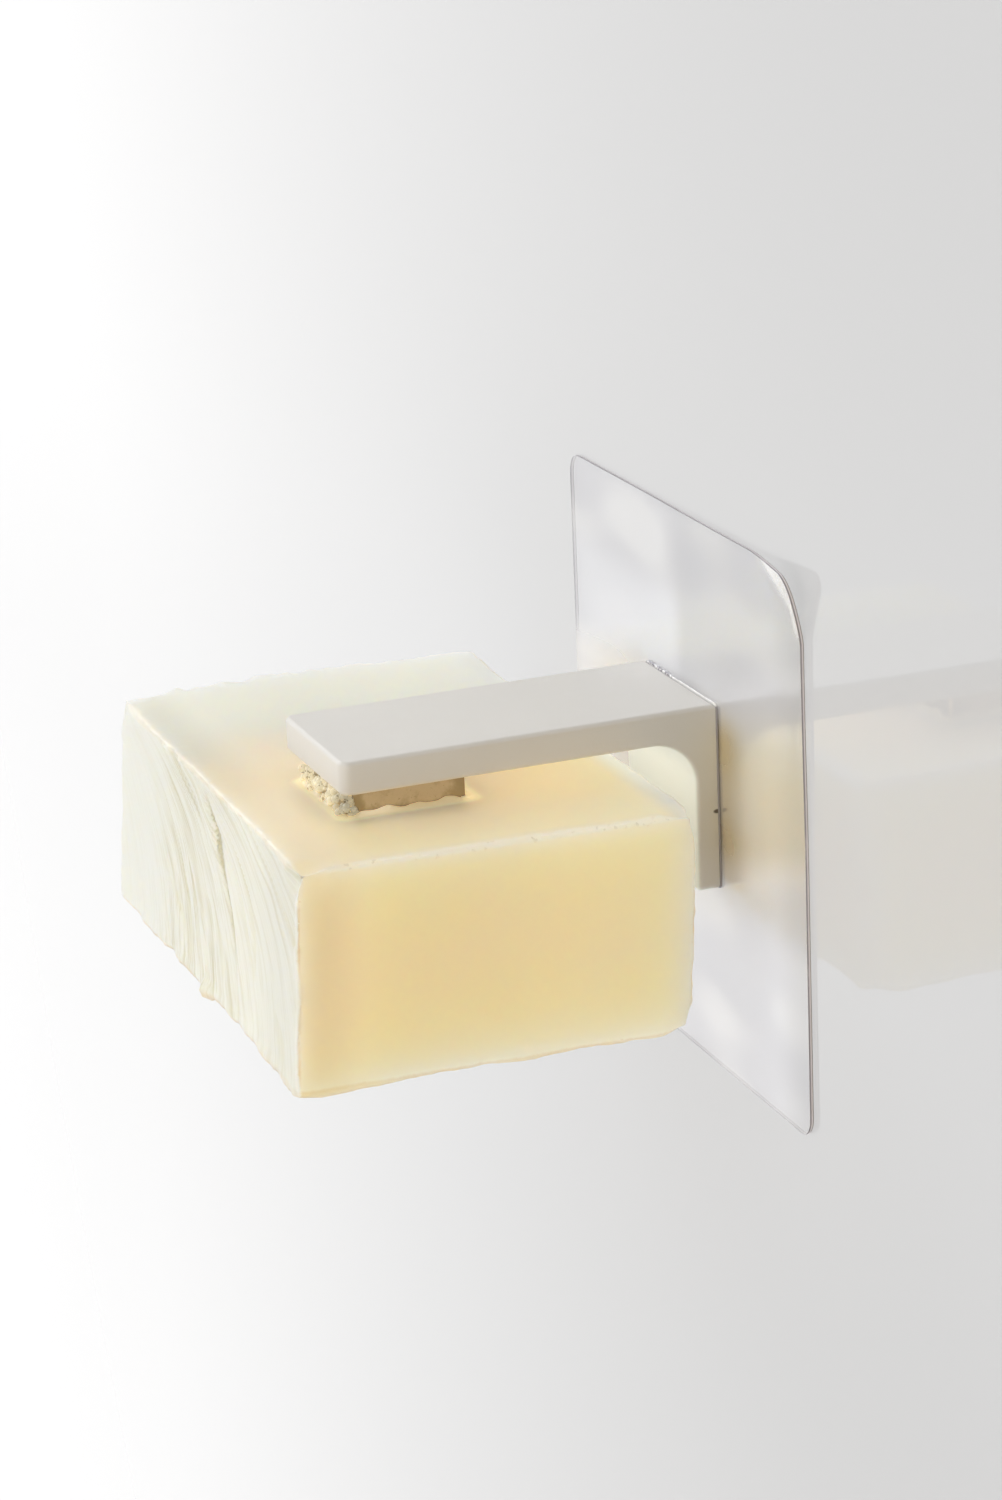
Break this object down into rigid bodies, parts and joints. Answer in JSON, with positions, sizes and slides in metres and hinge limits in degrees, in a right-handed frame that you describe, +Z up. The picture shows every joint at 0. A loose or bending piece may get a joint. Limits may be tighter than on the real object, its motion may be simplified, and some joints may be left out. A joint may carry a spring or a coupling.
{
  "type": "magnetic soap holder",
  "caption": "Magnetic soap holder: clear wall film, L-shaped white arm with a hidden magnet, and a toothed steel cap that hangs a soap bar under the arm's tip.",
  "frame": {"origin": "centre of the adhesive's back face, on the wall", "axes": "+Y into the wall, so the arm stands out along -Y; +Z up; +X to the right as seen facing the wall"},
  "size_m": [0.1231, 0.0862, 0.1],
  "materials": {
    "clear_film": "clear flexible film, gloss",
    "clear_adhesive": "clear tacky gel",
    "grey_tape": "double-sided bonding tape",
    "white_moulding": "satin moulded plastic, fine texture",
    "nickel_plate": "nickel-plated magnet",
    "bronzed_steel": "plain steel sheet, wet and stained by soap",
    "glycerine_soap": "translucent pale yellow soap with knife-cut faces"
  },
  "bodies": {
    "holder": {"film_sheet": "clear_film", "film_adhesive": "clear_adhesive", "bonding_tape": "grey_tape", "arm": "white_moulding", "magnet": "nickel_plate", "magnet_lid": "white_moulding"},
    "cap": {"soap_cap": "bronzed_steel"},
    "soap": {"soap_bar": "glycerine_soap"}
  },
  "joints": [
    {"name": "cap_release", "type": "slide", "parent": "holder", "child": "cap", "axis": [0, 0, -1], "range_m": [0, 0.05]},
    {"name": "soap_release", "type": "slide", "parent": "cap", "child": "soap", "axis": [0, 0, -1], "range_m": [0, 0.02]}
  ]
}
